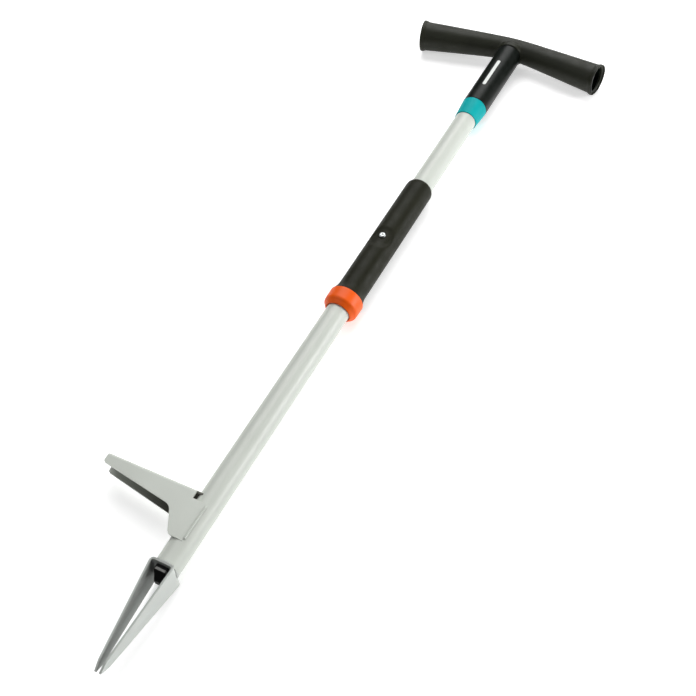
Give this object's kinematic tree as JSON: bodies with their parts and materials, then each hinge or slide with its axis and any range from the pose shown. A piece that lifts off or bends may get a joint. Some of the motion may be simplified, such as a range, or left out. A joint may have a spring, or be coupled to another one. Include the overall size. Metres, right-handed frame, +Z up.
{
  "type": "stand-up weeder",
  "caption": "Long-handled weeder with a T-handle, foot treadle, pointed fork and a sliding sleeve that pushes the weed out.",
  "frame": {"origin": "bottom centre of the tool as it lies on its back on the ground, under the middle of its length and under the shaft's axis", "axes": "+Y along the shaft from the prong tips to the T-handle, +X to the handle's end away from the treadle, +Z up, out of the tool's front face"},
  "size_m": [0.285, 1.0852, 0.0456],
  "materials": {
    "shaft_paint": "light grey powder coat, satin",
    "fork_paint": "grey powder coat on spring steel, satin",
    "hard_black": "smooth moulded black plastic",
    "soft_black": "fine-grained soft-touch black",
    "teal_plastic": "satin teal plastic",
    "orange_plastic": "satin orange plastic",
    "white_nylon": "natural nylon",
    "ejector_black": "glass-filled black nylon",
    "buffer_rubber": "black rubber",
    "zinc_steel": "bright zinc plate",
    "spring_steel": "oiled spring steel",
    "brass_insert": "knurled brass"
  },
  "bodies": {
    "shaft_assembly": {"main_tube": "shaft_paint", "tine_fork": "fork_paint", "fork_welds": "fork_paint", "foot_treadle": "shaft_paint", "treadle_welds": "shaft_paint", "lower_rod_guide": "white_nylon", "return_spring": "spring_steel", "handle_body": "hard_black", "handle_soft_grip": "soft_black", "handle_collar": "teal_plastic", "handle_screw": "zinc_steel"},
    "ejector_slide": {"slide_ring": "orange_plastic", "slide_core": "hard_black", "slide_grip": "soft_black", "grip_screws": "zinc_steel", "slot_spacers": "zinc_steel", "thread_inserts": "brass_insert", "coupling_block": "white_nylon", "ejector_rod": "zinc_steel", "rod_lock_nut": "zinc_steel", "spring_washer": "zinc_steel", "spring_clip": "spring_steel", "ejector_head": "ejector_black", "head_pin": "zinc_steel", "ejector_plate": "spring_steel", "stop_buffer": "buffer_rubber"}
  },
  "joints": [
    {"name": "eject", "type": "slide", "parent": "shaft_assembly", "child": "ejector_slide", "axis": [0, -1, 0], "range_m": [0, 0.045], "stiffness_N_per_m": 250, "springref_m": -0.02, "deforming": ["return_spring"]}
  ]
}
